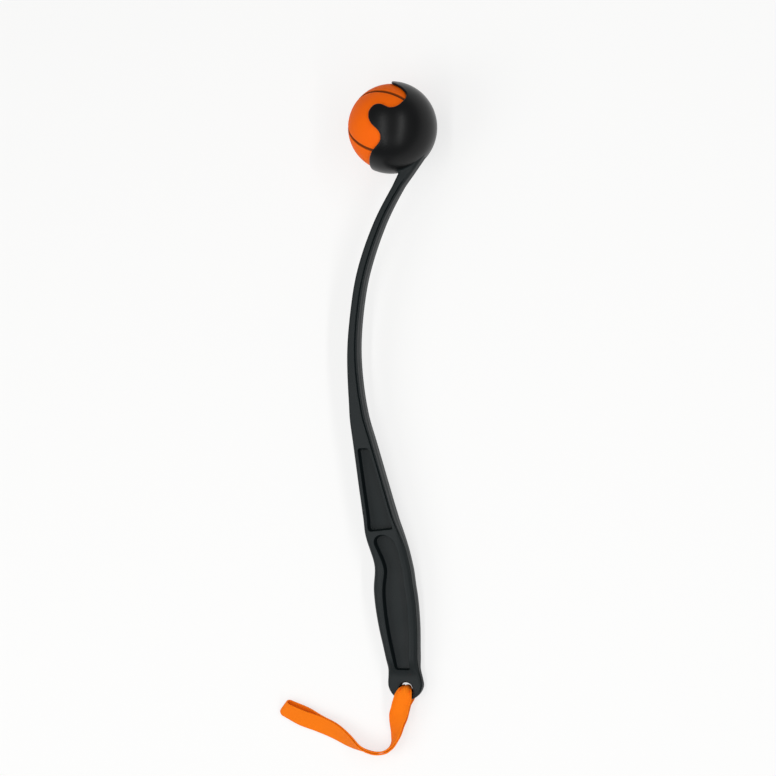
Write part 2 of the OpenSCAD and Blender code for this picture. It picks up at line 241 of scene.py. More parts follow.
# %% How round the edges are
FRONT_R, BACK_R, GRIP_R = 1.8, 0.8, 5.0
NECK_SHARE, TAIL_SHARE, MOST_ROUND = 0.6, 0.35, 0.7
OFF_NECK, ON_GRIP = (NECK + 15, NECK + 45), (GRIP - 22, GRIP + 2)
ON_TAIL = (ROUND_END - 8, ROUND_END + 6)


def edge_radii(d):
    """How round the front and the back edges are."""
    tail = ramp(d, *ON_TAIL)
    soft = max(ramp(d, *ON_GRIP) * (1 - tail), TAIL_SHARE * tail)
    neck = NECK_SHARE * (1 - ramp(d, *OFF_NECK))
    most = MOST_ROUND * min(half_depth(d), half_thick(d))
    rf = min(FRONT_R + (GRIP_R - FRONT_R) * soft, most)
    return rf, min(BACK_R + (GRIP_R - BACK_R) * max(soft, neck), most)


print("edge radii on the grip:", [round(float(r), 2) for r in edge_radii(BELLY)], "mm")

# %% [markdown]
# ## Groove and parting line
#
# A shadow groove runs along the back edge on both sides, and drifts out to that edge on the grip. A
# faint raised line in the middle of the front and back marks where the two halves of the mould met.
# Both could be cut later by booleans, but points in each ring keep them smooth all along the stick.

# %% The groove
GROOVE_W, GROOVE_DEPTH, GROOVE_SHARE = 1.4, 0.9, 0.4
GROOVE_STARTS, GROOVE_STOPS = (NECK + 13, NECK + 25), (END - 9, END - 3)
GROOVE_IN = np.array([
    (NECK, 1.8), (HANDLE - 16, 1.8), (HANDLE + 24, 1.25), (GRIP - 24, 1.15), (GRIP + 4, 0.32),
    (ROUND_END - 10, 0.32), (ROUND_END + 4, 0.66),
])


def groove(d, rb):
    """Middle of the groove by length from the back flank, half its width, and its depth."""
    half, inset = min(GROOVE_W, half_depth(d) * GROOVE_SHARE) / 2, np.interp(d, *GROOVE_IN.T)
    mid = rb * math.acos(1 - inset / rb) if inset < rb else rb * math.pi / 2 + inset - rb
    return mid, half, GROOVE_DEPTH * ramp(d, *GROOVE_STARTS) * (1 - ramp(d, *GROOVE_STOPS))


print("groove on the shaft", 2 * groove(HANDLE, BACK_R)[1], "mm wide,", GROOVE_DEPTH, "mm deep")

# %% One ring of the stick
CORNER_STEPS, FLAT_STEPS, GROOVE_STEPS = 8, 5, 6
SEAM_H, SEAM_W = 0.12, 0.5
SEAM_STARTS, SEAM_STOPS = (NECK + 20, NECK + 40), (END - 4, END - 0.5)


def section(d):
    """One closed outline, from the front edge over the upper side, and back under the lower side."""
    f, b, h = front(d), back(d), half_thick(d)
    rf, rb = edge_radii(d)
    quarter, flat = rb * math.pi / 2, b - rb - f - rf
    mid, half, deep = groove(d, rb)
    turn = np.linspace(0, 1, CORNER_STEPS + 1)
    s = np.sort(np.r_[
        quarter * turn, quarter + flat * np.linspace(0, 1, FLAT_STEPS + 1)[1:-1],
        mid + half * np.linspace(-1, 1, GROOVE_STEPS + 1), quarter + flat + rf * math.pi / 2 * turn,
    ])
    points, out = walk(s, f, b, h, rf, rb)
    points = points - out * (deep * np.cos(math.pi / 2 * np.clip((s - mid) / half, -1, 1)) ** 2)[:, None]
    upper = [tuple(q) for q in points[::-1]]
    seam = SEAM_H * ramp(d, *SEAM_STARTS) * (1 - ramp(d, *SEAM_STOPS))
    w = min(SEAM_W, (h - max(rf, rb)) * MOST_ROUND)
    ridge = [(0.0, w), (seam, w / 3), (seam, -w / 3), (0.0, -w)]
    return np.array(
        upper + [(b + e, z) for e, z in ridge]
        + [(x, -z) for x, z in upper[::-1]] + [(f - e, -z) for e, z in ridge]
    )


def ring(d):
    """The section at a distance down, as points of the drawing."""
    s = section(d)
    return np.column_stack([s[:, 0], np.full(len(s), -d), s[:, 1]])


COLUMNS = len(ring(HANDLE))
print("points round the stick:", COLUMNS)

# %% [markdown]
# ## Where the shaft grows out of the cup
#
# On a moulding the shaft doesn't just run into the ball-shaped cup: the corner between them is
# filled with a fillet, so that the tool fills well and the neck doesn't crack. A bevel would need a
# clean edge there, which two curved skins don't have. So each line along the shaft is followed to
# where it meets the cup's sphere, and the fillet is worked out line by line.

# %% The shaft's lines near the cup
NECK_TOP, NECK_STEP = 62, 0.25


def unit(vectors):
    """One vector or many, each with a length of 1."""
    return vectors / np.linalg.norm(vectors, axis=-1, keepdims=True)


dense = np.arange(NECK, NECK_TOP, NECK_STEP)
lines = np.array([ring(d) for d in dense])
around = np.roll(lines, -1, 1) - np.roll(lines, 1, 1)
face_out = unit(np.cross(around, np.gradient(lines, axis=0)))
from_middle = lines - lines.mean(1, keepdims=True)
face_out *= np.sign((from_middle * face_out).sum((1, 2), keepdims=True))


def at_row(values, row, j):
    """What line j has at a place between two rows."""
    i = min(max(int(row), 0), len(dense) - 2)
    return values[i, j] + (values[i + 1, j] - values[i, j]) * (row - i)


print("lines down the neck:", COLUMNS, "with", len(dense), "points each")

# %% [markdown]
# ## How far the fillet reaches
#
# A fillet leaves each face at the same distance from their corner, its setback. The flatter the two
# faces meet, the shorter it is, so it is worked out from the angle at every line. It is then blended
# round the neck, as a toolmaker would do.

# %% Setback of the fillet
FILLET_R, LEAST_SETBACK, MOST_SETBACK = 2.0, 0.3, 4.5
BLENDS = 6
meets, tilts = [], []
for j in range(COLUMNS):
    away = np.linalg.norm(lines[:, j], axis=1) - CUP_R
    i = np.nonzero(away < 0)[0].max()
    meets.append(i + away[i] / (away[i] - away[i + 1]))
    tilts.append(np.dot(at_row(face_out, meets[j], j), unit(at_row(lines, meets[j], j))))
wedge = np.pi - np.arccos(np.clip(tilts, -1, 1))
setback = np.clip(FILLET_R / np.tan(wedge / 2), LEAST_SETBACK, MOST_SETBACK)
for _ in range(BLENDS):
    setback = (np.roll(setback, 1) + 2 * setback + np.roll(setback, -1)) / 4
print("fillet setback from", setback.min().round(2), "to", setback.max().round(2), "mm")

# %% [markdown]
# ## The fillet's rows
#
# From its setback on the shaft the fillet bends towards the corner and lands on the sphere, the same
# setback further. A curve with three control points does that without knowing a radius. The last
# rings are sunk in the cup's wall, out of sight, so that no gap shows between the two pieces.

# %% The neck
FILLET_ROWS, SHAFT_ROWS = 8, 14
SUNK, SUNK_SHARES = 0.8, (0.97, 0.5, 0.08)
row_numbers = np.arange(len(dense))
hits = np.array([at_row(lines, meets[j], j) for j in range(COLUMNS)])
run = unit(np.roll(hits, -1, 0) - np.roll(hits, 1, 0))
neck_rows = [[] for _ in range(FILLET_ROWS + SHAFT_ROWS)]
for j, hit in enumerate(hits):
    length = np.r_[0, np.cumsum(np.linalg.norm(np.diff(lines[:, j], axis=0), axis=1))]
    meet_mm = np.interp(meets[j], row_numbers, length)
    leave = np.interp(meet_mm + setback[j], length, row_numbers)
    side = np.cross(unit(hit), run[j])
    side *= 1 if np.dot(side, at_row(face_out, meets[j], j)) > 0 else -1
    land = CUP_R * unit(hit + setback[j] * side)
    start = at_row(lines, leave, j)
    for k, t in enumerate(np.linspace(1, 0, FILLET_ROWS)):
        neck_rows[k].append((1 - t) ** 2 * start + 2 * t * (1 - t) * hit + t * t * land)
    for k, row in enumerate(np.linspace(leave, len(dense) - 1, SHAFT_ROWS + 1)[1:]):
        neck_rows[FILLET_ROWS + k].append(at_row(lines, row, j))
foot, root = unit(np.array(neck_rows[0])), unit(np.mean(neck_rows[0], axis=0))
sunk = [(CUP_R - SUNK) * unit(foot * (1 - share) + root * share) for share in SUNK_SHARES]
print("neck rings:", len(neck_rows), "and", len(sunk), "sunk in the cup")

# %% [markdown]
# ## The stick's skin
#
# The rest of the stick is a loft: one ring every few millimetres, closer together on the handle, and
# closer still round the end, where the rings shrink like slices of a disc. A subdivided cage would
# also give a smooth stick, but it would pull away from the CAD's lines. A loft stays on them.

# %% Loft the stick
FIRST_STEP, SHAFT_STEP, HANDLE_STEP = 1.5, 2.5, 1.5
END_ROWS, END_TURN = 26, math.radians(88)
rows = np.r_[
    np.arange(NECK_TOP + FIRST_STEP, HANDLE, SHAFT_STEP),
    np.arange(HANDLE, ROUND_END, HANDLE_STEP),
    ROUND_END + END_R * np.sin(np.linspace(0, END_TURN, END_ROWS)),
]
stick_rings = np.concatenate([sunk, neck_rows, [ring(d) for d in rows]])
stick = new_piece("stick_moulding", laid(stick_rings), ring_faces(len(stick_rings), COLUMNS))
print("stick rings:", len(stick_rings), "faces:", len(stick.data.polygons))

# %% [markdown]
# ## Hollows in the handle
#
# Thick plastic shrinks as it cools, so a moulded handle is cored out from both sides, down to a thin
# web. The outline of each hollow follows the handle's front and back edges at the width of a rim, and
# ends in round corners. It is drawn from the stick's own lines, so it fits wherever they bend.

# %% Outlines of the hollows
OUTLINE_STEP, LEAST_W, SLANT_RUN = 2, 1, 8


def hollow_outline(a, b, rims, rim_back, r_up, r_low, slant):
    """Points round a hollow between two distances, with the distance down kept for each."""
    turn = np.radians(np.linspace(0, 90, CORNER_STEPS + 1))
    down = np.r_[
        a + r_up * (1 - np.cos(turn[:-1])),
        np.linspace(a + r_up, b - r_low, int((b - a) / OUTLINE_STEP)),
        b - r_low * (1 - np.sin(turn[1:])),
    ]
    sides = []
    for d in down:
        r, e = (r_up, d - a) if d < a + r_up else (r_low, b - d)
        bite = r - math.sqrt(max(r * r - (r - e) ** 2, 0)) if e < r else 0
        left, right = front(d) + np.interp(d, *np.array(rims).T), back(d) - rim_back
        bite = min(bite, (right - left - LEAST_W) / 2)
        tilt = slant * ramp(d, b - SLANT_RUN, b)
        sides.append((left + bite, right - bite, d + tilt, d - tilt))
    return np.array([(s[0], s[2]) for s in sides] + [(s[1], s[3]) for s in sides[::-1]])


GRIP_RIMS = [(GRIP - 2, 5.8), (GRIP + 20, 8.4), (GRIP + 36, 7.8), (GRIP + 76, 6.4)]
outlines = {
    "upper": hollow_outline(
        HANDLE + 4.6, GRIP - 10.4, rims=[(HANDLE, 3.4)], rim_back=4.0, r_up=2, r_low=2.4, slant=0.9,
    ),
    "grip": hollow_outline(
        GRIP - 7, ROUND_END - 10, rims=GRIP_RIMS, rim_back=6.2, r_up=8, r_low=2, slant=0,
    ),
}
print("hollows:", {name: f"{np.ptp(line[:, 1]):.1f} mm long" for name, line in outlines.items()})

# %% [markdown]
# ## Tools for the hollows
#
# In the mould a steel core stands where each hollow is. Here it is a cutting tool of the same shape:
# its walls lean a little, so that it would leave the plastic, its floor has a fillet, and the edge
# that it leaves on the handle is broken. An inset and an extrusion of the handle's own faces could
# make a hollow too, but only where those faces happen to lie.

# %% Tools of the hollows
DRAFT, FLOOR_R, EDGE_R = 0.3, 1.0, 0.6
EDGE_TURN, EDGE_STEPS, FLOOR_STEPS = math.radians(60), 5, 6
WEB, ABOVE = 3.6, 12


def hollow_tool(outline, side):
    """Rings of a tool that cuts the outline from one side down to the web."""
    way = np.roll(outline, -1, 0) - np.roll(outline, 1, 0)
    outward = unit(np.column_stack([way[:, 1], -way[:, 0]]))
    outward *= np.sign(((outline - outline.mean(0)) * outward).sum())
    top = np.array([half_thick(d) for d in outline[:, 1]])
    wide = EDGE_R * (1 - math.cos(EDGE_TURN)) + math.sin(EDGE_TURN)
    profile = [(wide, ABOVE), (wide, top + math.cos(EDGE_TURN))]
    for t in np.linspace(EDGE_TURN, 0, EDGE_STEPS):
        profile.append((EDGE_R * (1 - math.cos(t)), top - EDGE_R * (math.sin(EDGE_TURN) - math.sin(t))))
    for t in np.radians(np.linspace(0, 90, FLOOR_STEPS)):
        profile.append((-DRAFT - FLOOR_R * (1 - math.cos(t)), WEB / 2 + FLOOR_R * (1 - math.sin(t))))
    rings = []
    for out, z in profile:
        x, d = (outline + out * outward).T
        rings.append(np.column_stack([x, -d, np.broadcast_to(side * z, x.shape)]))
    return rings


tools = []
for name, outline in outlines.items():
    for side in (1, -1):
        rings = hollow_tool(outline, side)
        tools.append(new_piece(f"{name}_tool_{side}", laid(rings), ring_faces(len(rings), len(outline))))
print("tools:", [tool.name for tool in tools])

# %% [markdown]
# ## The strap's hole
#
# A round pin in the mould leaves the hole, and its mouth is flared on both sides, so that the strap
# bends over no sharp edge. Its tool is turned like a reel: rings of growing radius, mirrored.

# %% Tool of the hole
HOLE_X, HOLE_D, HOLE_R = 12.2, 420.3, 5.1
FLARE, FLARE_STEPS, HOLE_SIDES = 1.4, 6, 72
end_half = half_thick(HOLE_D)
flare = [
    (HOLE_R + FLARE * (1 - math.cos(t)), end_half - FLARE * (math.sin(EDGE_TURN) - math.sin(t)))
    for t in np.linspace(0, EDGE_TURN, FLARE_STEPS)
]
mouth_r = flare[-1][0]
flare.append((mouth_r + math.sin(EDGE_TURN), end_half + math.cos(EDGE_TURN)))
turns = np.linspace(0, 2 * math.pi, HOLE_SIDES, endpoint=False)
hole_rings = [
    np.column_stack([HOLE_X + r * np.cos(turns), -HOLE_D + r * np.sin(turns), np.full(HOLE_SIDES, z)])
    for r, z in [(r, -z) for r, z in flare[::-1]] + flare
]
tools.append(new_piece("hole_tool", laid(hole_rings), ring_faces(len(hole_rings), HOLE_SIDES)))
print("hole", 2 * HOLE_R, "mm, at its mouth", round(2 * mouth_r, 1), "mm")

# %% [markdown]
# ## Cutting the stick
#
# One boolean for each tool takes it out of the stick. The result is kept as a plain mesh and the tools
# are thrown away, so nothing in the file depends on them. An open edge would show a bad cut, so they
# are counted.

# %% Cut the stick
CUT_CREASE = 38
for tool in tools:
    cut = stick.modifiers.new(tool.name, "BOOLEAN")
    cut.operation, cut.solver, cut.object = "DIFFERENCE", "EXACT", tool
bpy.context.view_layer.update()
whole = stick.evaluated_get(bpy.context.evaluated_depsgraph_get())
cut_mesh = bpy.data.meshes.new_from_object(whole)
stick.modifiers.clear()
stick.data = cut_mesh
for tool in tools:
    bpy.data.objects.remove(tool)
smoothed(stick, CUT_CREASE)
work = bmesh.new()
work.from_mesh(stick.data)
print("stick faces:", len(work.faces), "open edges:", sum(not e.is_manifold for e in work.edges))
work.free()

# %% [markdown]
# ## The lip of the snap-in cup
#
# The cup is a thin shell, a bit more than half a ball. Its lip is cut into a tongue, two ears and a
# scoop, so that it can spring apart round the ball. Cutting a sphere with a boolean would leave
# ragged edges, so the lip is drawn as a line instead: pairs of an angle round the mouth and how far
# the shell reaches there, in degrees. The pairs of one half are mirrored, and the line is sampled
# evenly along its length.

# %% The lip's line
MOUTH_TILT = math.radians(15)
TO_MOUTH = np.array([
    [math.sin(MOUTH_TILT), 0, -math.cos(MOUTH_TILT)],
    [math.cos(MOUTH_TILT), 0, math.sin(MOUTH_TILT)],
    [0, -1, 0],
])
LIP = [
    (0, 102), (11, 101.4), (20, 98), (25.4, 91), (30.4, 81.5), (36.2, 73.7), (42, 70.6), (48.4, 70.2),
    (55.8, 71.9), (61.3, 74.2), (65.7, 77.8), (68.2, 82.1), (68.8, 85.5), (67.8, 90.1), (66.9, 95.4),
    (67.5, 99.8), (69.5, 103.7), (73.2, 106.4), (78.6, 108.3), (84.3, 107.5), (89.3, 105.3), (93.5, 101.4),
    (96.4, 97.1), (99.4, 91.4), (102.8, 87.3), (106.2, 85.6), (110.5, 84.8), (115.4, 85.9), (121.4, 89.1),
    (128.5, 93.7), (136, 96.3), (144, 98), (156, 99.4), (168, 99.8), (180, 100),
]
LIP_POINTS, LIP_SAMPLES = 420, 6000
lip_half = np.array(LIP, float)
mirrored = [(360 - a, r) for a, r in lip_half[-2:0:-1]]
loop = np.concatenate([lip_half, mirrored, lip_half[:1] + (360, 0)])
index = np.arange(len(loop))
fine = np.linspace(0, index[-1], LIP_SAMPLES)
angle, reach = (np.radians(curve(np.column_stack([index, loop[:, c]]), fine)) for c in (0, 1))
trace = np.column_stack([np.sin(reach) * np.cos(angle), np.sin(reach) * np.sin(angle), -np.cos(reach)])
length = np.r_[0, np.cumsum(np.linalg.norm(np.diff(trace, axis=0), axis=1))]
even = np.linspace(0, length[-1], LIP_POINTS + 1)[:-1]
lip = unit(np.column_stack([np.interp(even, length, trace[:, c]) for c in range(3)]))
print("lip length", round(length[-1] * CUP_R, 1), "mm")

# %% [markdown]
# ## The cup's shell
#
# A round edge is swept along the lip, and from both sides of that edge lines run back, outside and
# inside, to one point under the neck. From there every part of the lip can be seen, even under the
# hooked ears, so the lines never cross.

# %% The cup
CUP_WALL, ROOT_SHARE = 1.7, 0.02
SHELL_ROWS, LIP_STEPS = 34, 8
ROOT_TURN = math.radians(28)
edge_r = CUP_WALL / 2
mid_r = CUP_R - edge_r
off_edge = np.cross(unit(np.roll(lip, -1, 0) - np.roll(lip, 1, 0)), lip)
off_edge *= np.sign(off_edge[0, 2])
edge_dir = unit(lip * mid_r - off_edge * edge_r)
bottom = np.array([-math.sin(ROOT_TURN), 0, -math.cos(ROOT_TURN)])
gap = np.arccos(np.clip(edge_dir @ bottom, -1, 1))[:, None]
shell = [
    (np.sin((1 - share) * gap) * bottom + np.sin(share * gap) * edge_dir) / np.sin(gap)
    for share in np.linspace(ROOT_SHARE, 1, SHELL_ROWS)[:-1]
]
outer = [row * CUP_R for row in shell]
inner = [row * (CUP_R - CUP_WALL) for row in shell[::-1]]
edge = [
    edge_dir * mid_r + edge_r * (math.cos(t) * edge_dir + math.sin(t) * off_edge)
    for t in np.linspace(0, math.pi, LIP_STEPS + 1)
]
cup_rings = np.array(outer + edge + inner) @ TO_MOUTH.T
cup = new_piece("snap_cup", laid(cup_rings), ring_faces(len(cup_rings), LIP_POINTS), crease=60)
print("cup faces:", len(cup.data.polygons))

# %% [markdown]
# ## The rubber ball
#
# The ball is two moulded half shells of natural rubber, bonded along one groove, with a second groove
# across it. A plain UV sphere would pinch where the grooves cross. Here six curved squares make the
# ball, with their lines crowded along the grooves, so that both grooves are real and clean.

# %% Six curved squares
BALL_R, CROSSING = 32.5, math.radians(86)
BY_GROOVE = [0, 0.35, 0.7, 1.0, 1.25, 1.5, 1.8]
PLAIN_FROM, PLAIN_LINES = 2.4, 24
spread = np.r_[BY_GROOVE, np.linspace(PLAIN_FROM, BALL_R * math.pi / 4, PLAIN_LINES)] / BALL_R
spread = np.tan(np.r_[-spread[:0:-1], spread])
count = len(spread)
u, v = (g.ravel() for g in np.meshgrid(spread, spread))
one = np.ones_like(u)
squares = [np.column_stack(c) for c in (
    (one, u, v), (-one, u, -v), (u, one, -v), (u, -one, v), (u, v, one), (u, -v, -one),
)]
ball_points = np.concatenate(squares)
ball_points[:, 0] -= ball_points[:, 2] / math.tan(CROSSING)
ball_points = unit(ball_points)
print("squares:", len(squares), "with", count, "lines each way")

# %% [markdown]
# ## Grooves in the ball
#
# Each groove follows a great circle, so its depth depends only on the distance from one plane through
# the ball's middle. Where two grooves cross, the deeper one counts. The ball is then turned the way
# that it lies in the cup.

# %% The ball
GROOVE_HALF, GROOVE_IN_BALL, GROOVE_CURVE = 1.5, 0.85, 1.2
BALL_SPIN, BALL_LEAN, BALL_HEADING = (math.radians(a) for a in (5.8, 45, -113.7))
BALL_TURN = np.array(
    Matrix.Rotation(BALL_HEADING, 3, "Z") @ Matrix.Rotation(BALL_LEAN, 3, "Y")
    @ Matrix.Rotation(BALL_SPIN, 3, "Z")
)


def groove_depth(across):
    """How deep a groove is at points whose distance from its plane is a share of the ball's radius."""
    inside = np.clip(np.abs(BALL_R * np.arcsin(across)) / GROOVE_HALF, 0, 1)
    return GROOVE_IN_BALL * np.cos(inside * math.pi / 2) ** GROOVE_CURVE


groove_axes = [np.array([0, 0, 1.0]), np.array([math.sin(CROSSING), 0, math.cos(CROSSING)])]
depth = np.maximum(*(groove_depth(ball_points @ axis) for axis in groove_axes))
ball_points *= (BALL_R - depth)[:, None]
ball_faces = [
    (s + i * count + j, s + i * count + j + 1, s + (i + 1) * count + j + 1, s + (i + 1) * count + j)
    for s in range(0, len(ball_points), count * count)
    for i in range(count - 1)
    for j in range(count - 1)
]
ball = new_piece("rubber_ball", laid(ball_points @ BALL_TURN.T), ball_faces, crease=70)
print("ball faces:", len(ball.data.polygons), "deepest groove", round(depth.max(), 2), "mm")

# %% [markdown]
# ## The strap's route
#
# The strap is one woven tape sewn into a loop. Both layers go through the hole, come together outside,
# stand on edge round the bend and lie back towards a soft fold. The rows are close to the CAD's, but
# limp cloth lies closer together, so here the layers nearly touch and the under layer is tucked further
# in. A row holds x from the hole, y past the stick's end, lift, twist, half the gap between the layers,
# how far the under layer is off to the front, how far the layers lean apart, and how much the tape is
# pulled askew.

# %% Rows of the route
TAPE_W, TAPE_T, TAPE_GAP = 15.0, 1.2, 0.5
END_THICK = THICKS[-1][1]
EYE_Z = END_THICK / 2 + TAPE_GAP + TAPE_T / 2
EYE_OUT, FOLD_R, LAYER_GAP, LIFT = 3.0, 1.0, 0.12, 0.4
LAYER = TAPE_T / 2 + LAYER_GAP


def ground(y):
    """Height of the floor in the tipped drawing, at a place along the stick."""
    return (-CUP_R - y * math.sin(LAY)) / math.cos(LAY)


def rest(twist, gap, off):
    """Height of the layers' middle over the floor when the tape just touches it."""
    t = math.radians(twist)
    return (TAPE_W / 2 + abs(off)) * abs(math.sin(t)) + (gap + TAPE_T / 2) * abs(math.cos(t))


ROUTE = [
    (-2.9, -EYE_OUT, -ground(-END - EYE_OUT) - rest(0, EYE_Z, 0), 0, EYE_Z, -2.6, 0, 0),
    (-3.6, -9, LIFT, 8, 5, -3.6, 0, 0), (-6.2, -17, LIFT, 32, 2, -2.4, 0, 0),
    (-8, -26, LIFT, 54, LAYER, -0.8, 0, 0), (-10.8, -34, LIFT, 78, LAYER, 0, 0, 0),
    (-16.6, -39.2, LIFT, 95, LAYER, 0, 0, 0), (-25.2, -40.1, LIFT, 101, LAYER, 0, 0, 0),
    (-34.6, -37.2, LIFT, 108, LAYER, 0, 0, 0), (-44.2, -32, LIFT, 131, LAYER, 0, 0, 0),
    (-56.2, -25.4, LIFT, 148, LAYER, 0, 0, 0), (-69.2, -20.4, LIFT, 155, LAYER, 0, 1, 0.05),
    (-82.2, -15.6, LIFT, 161, 1.5, 0, 7, 0.2), (-96, -10, LIFT, 159, FOLD_R, 0, 8, 0.45),
]
FAR = len(ROUTE) - 1


def place(s):
    """The route's values at a place between its rows, and the point there."""
    row = [curve([(i, r[c]) for i, r in enumerate(ROUTE)], s) for c in range(len(ROUTE[0]))]
    y = row[1] - END
    return row, np.array([HOLE_X + row[0], y, ground(y) + rest(*row[3:6]) + row[2]])


print("fold of the strap at", place(FAR)[1].round(1), "mm from the ball's centre")

# %% [markdown]
# ## How the tape lies along the route
#
# A ribbon needs more than a line: at every place it needs its middle, the way across it and how much
# it is curled. Outside, these come from the route. In the hole, the tape is too wide to lie flat, so
# it curls against the wall, bends over the rim and keeps a little of that curl as it leaves.

# %% Frames outside the hole
HUG_R = HOLE_R - TAPE_GAP - TAPE_T / 2
KEEP_CURL, FLAT_AT, AHEAD = 0.4, 2.6, 0.02


def curl_left(s, side):
    """The curl that the upper layer still has after it leaves the hole."""
    eased = (1 + math.cos(math.pi * ramp(s, 0, FLAT_AT))) / 2
    return KEEP_CURL / HUG_R * eased if side > 0 else 0.0


def tape_frame(s, side, turn=0):
    """Middle, way across and curl of one layer on the route, or part of the way round the fold."""
    ahead = unit(place(min(s + AHEAD, FAR))[1] - place(max(s - AHEAD, 0))[1])
    flat = unit(np.cross((0, 0, 1), ahead))
    (_, _, _, twist, gap, off, splay, skew), at = place(s)
    twist, splay = math.radians(twist), math.radians(splay)
    across = math.cos(twist) * flat + math.sin(twist) * np.cross(ahead, flat)
    outward = side * math.cos(turn) * np.cross(ahead, across) + math.sin(turn) * ahead
    leaning = math.cos(splay) * across + math.sin(splay) * outward
    at = at + gap * outward + (off if side < 0 else 0) * across + TAPE_W / 2 * (leaning - across)
    return at, unit(leaning - skew * ahead), curl_left(s, side)


print("out of the hole the tape curls to a radius of", round(1 / curl_left(0, 1), 1), "mm")

# %% Frames in the hole
BEND_R, OVER_TURN, UNDER_TURN = 2.4, -12, -24
TIGHT_CURL, CURL_EASE = 1.08, 1.2


def eye_frame(turn, side):
    """The same where the tape curls out of the hole and bends over its rim."""
    t, q = math.radians(turn), math.radians((UNDER_TURN if side < 0 else OVER_TURN) - 90)
    out = np.array([math.cos(q), math.sin(q), 0])
    r, z = HUG_R + BEND_R * (1 - math.cos(t)), side * (EYE_Z - BEND_R + BEND_R * math.sin(t))
    at = np.array([HOLE_X, -HOLE_D, z]) + r * out
    kept = curl_left(0, side)
    curl = kept + (TIGHT_CURL / HUG_R - kept) * (1 - turn / 90) ** CURL_EASE
    return at, np.array([-math.sin(q), math.cos(q), 0]), curl


print("in the hole it curls to a radius of", round(1 / eye_frame(0, 1)[2], 1), "mm")

# %% [markdown]
# ## Knots round the whole loop
#
# The loop starts under the hole, goes up through it, runs along the upper layer, round the fold and
# back along the under layer. Knots are set close together where it bends, like the pins on a drawing
# board, and a soft fold needs only a few of them.

# %% Knots
LAYER_KNOTS, EYE_STEP, FOLD_STEP = 49, 15, 22.5
fold = [tape_frame(FAR, 1, t) for t in np.radians(np.arange(FOLD_STEP, 180, FOLD_STEP))]
knots = (
    [eye_frame(t, -1) for t in range(90, -1, -EYE_STEP)]
    + [eye_frame(t, 1) for t in range(0, 91, EYE_STEP)]
    + [tape_frame(s, 1) for s in np.linspace(0, FAR, LAYER_KNOTS)] + fold
    + [tape_frame(s, -1) for s in np.linspace(FAR, 0, LAYER_KNOTS)]
)
print("knots along the tape:", len(knots))

# %% [markdown]
# ## Even steps round the loop
#
# The knots are joined by a smooth closed curve and cut into even steps, so that the faces of the tape
# have one length. The loop is walked three times in a row and only the middle round is kept, which
# makes its two ends meet without a kink.

# %% Steps along the tape
TAPE_STEP = 0.9
keys = np.array([np.hstack(knot) for knot in knots])
rounds = np.concatenate([keys, keys, keys])
arc = np.r_[0, np.cumsum(np.linalg.norm(np.diff(rounds[:, :3], axis=0), axis=1))]
begin, stop = arc[len(keys)], arc[2 * len(keys)]
steps = int((stop - begin) / TAPE_STEP)
at = np.linspace(begin, stop, steps + 1)[:-1]
path = np.column_stack([curve(np.column_stack([arc, rounds[:, c]]), at) for c in range(keys.shape[1])])
middle, across, curl = path[:, :3], unit(path[:, 3:6]), np.clip(path[:, 6], 0, None)
after = np.roll(middle, -1, 0)
face = unit(np.cross(unit(after - np.roll(middle, 1, 0)), across))
loop_length = np.linalg.norm(after - middle, axis=1).sum()
print("strap loop", round(loop_length, 1), "mm in", steps, "steps")

# %% [markdown]
# ## The tape's section
#
# A woven tape is flat with soft, rounded selvedges. In the hole its middle is tucked inwards, because
# the tape is wider than the hole. The section is a line across the tape with a thickness square to it,
# so the cloth stays as thick in the tuck as on the flat.

# %% Section of the tape
TUCK, TUCK_W, TUCK_FROM = 6.2, 6.2, 0.25
LEAST_CURL = 1e-6
half_w = TAPE_W / 2
edges = np.array([0, 0.1, 0.3, 0.6, 1.0, 1.8, 2.6, 3.3, 4.0, 4.7, 5.4, 6.1, 6.8, half_w])
spots = np.r_[edges - half_w, half_w - edges[-2::-1]]
selvedge = np.clip(1 - (half_w - np.abs(spots)) / (TAPE_T / 2), 0, 1)
upper = list(zip(spots, TAPE_T / 2 * np.sqrt(1 - selvedge**2)))
tape_ring = upper + [(s, -thick) for s, thick in upper[-2:0:-1]]
tucked = np.clip((curl * HUG_R - TUCK_FROM) / (1 - TUCK_FROM), 0, 1)
tuck = TUCK * tucked**2 * (3 - 2 * tucked)


def tape_line(spot):
    """How far one spot of the tape's width is across and off its flat, at every step."""
    curled = curl > LEAST_CURL
    tight = np.where(curled, curl, 1)
    x = np.where(curled, np.sin(curl * spot) / tight, spot)
    z = np.where(curled, (1 - np.cos(curl * spot)) / tight, 0)
    return x, z + tuck * math.cos(math.pi / 2 * min(abs(spot) / TUCK_W, 1)) ** 2


print("points round the tape:", len(tape_ring), "deepest tuck", round(tuck.max(), 1), "mm")

# %% [markdown]
# ## The woven tape
#
# The section is swept along the loop. At the fold the lower corner is rounded, as a hand would press
# it. A cloth simulation could drape such a strap too, but a stiff narrow tape held by a hole keeps its
# lie better when it is drawn directly.

# %% The strap's mesh
CORNER_R, CORNER_RUN = 5.0, 26.0
BESIDE, BEFORE_FOLD = 0.01, 0.1
fold_at = arc[2 * len(knots) - LAYER_KNOTS - len(fold) // 2 - 1]
near_fold = (1 + np.cos(math.pi * np.clip(np.abs(at - fold_at) / CORNER_RUN, 0, 1))) / 2
to_fold = unit(place(FAR)[1] - place(FAR - BEFORE_FOLD)[1])
strap_rings = []
for spot, thick in tape_ring:
    short = max(CORNER_R - half_w - spot, 0)
    pull = CORNER_R - math.sqrt(CORNER_R**2 - short**2)
    (x, z), (x0, z0), (x1, z1) = (tape_line(s) for s in (spot, spot - BESIDE, spot + BESIDE))
    lean = np.arctan2(z1 - z0, x1 - x0)
    strap_rings.append(
        middle + across * (x - thick * np.sin(lean))[:, None] + face * (z + thick * np.cos(lean))[:, None]
        - np.outer(pull * near_fold, to_fold)
    )
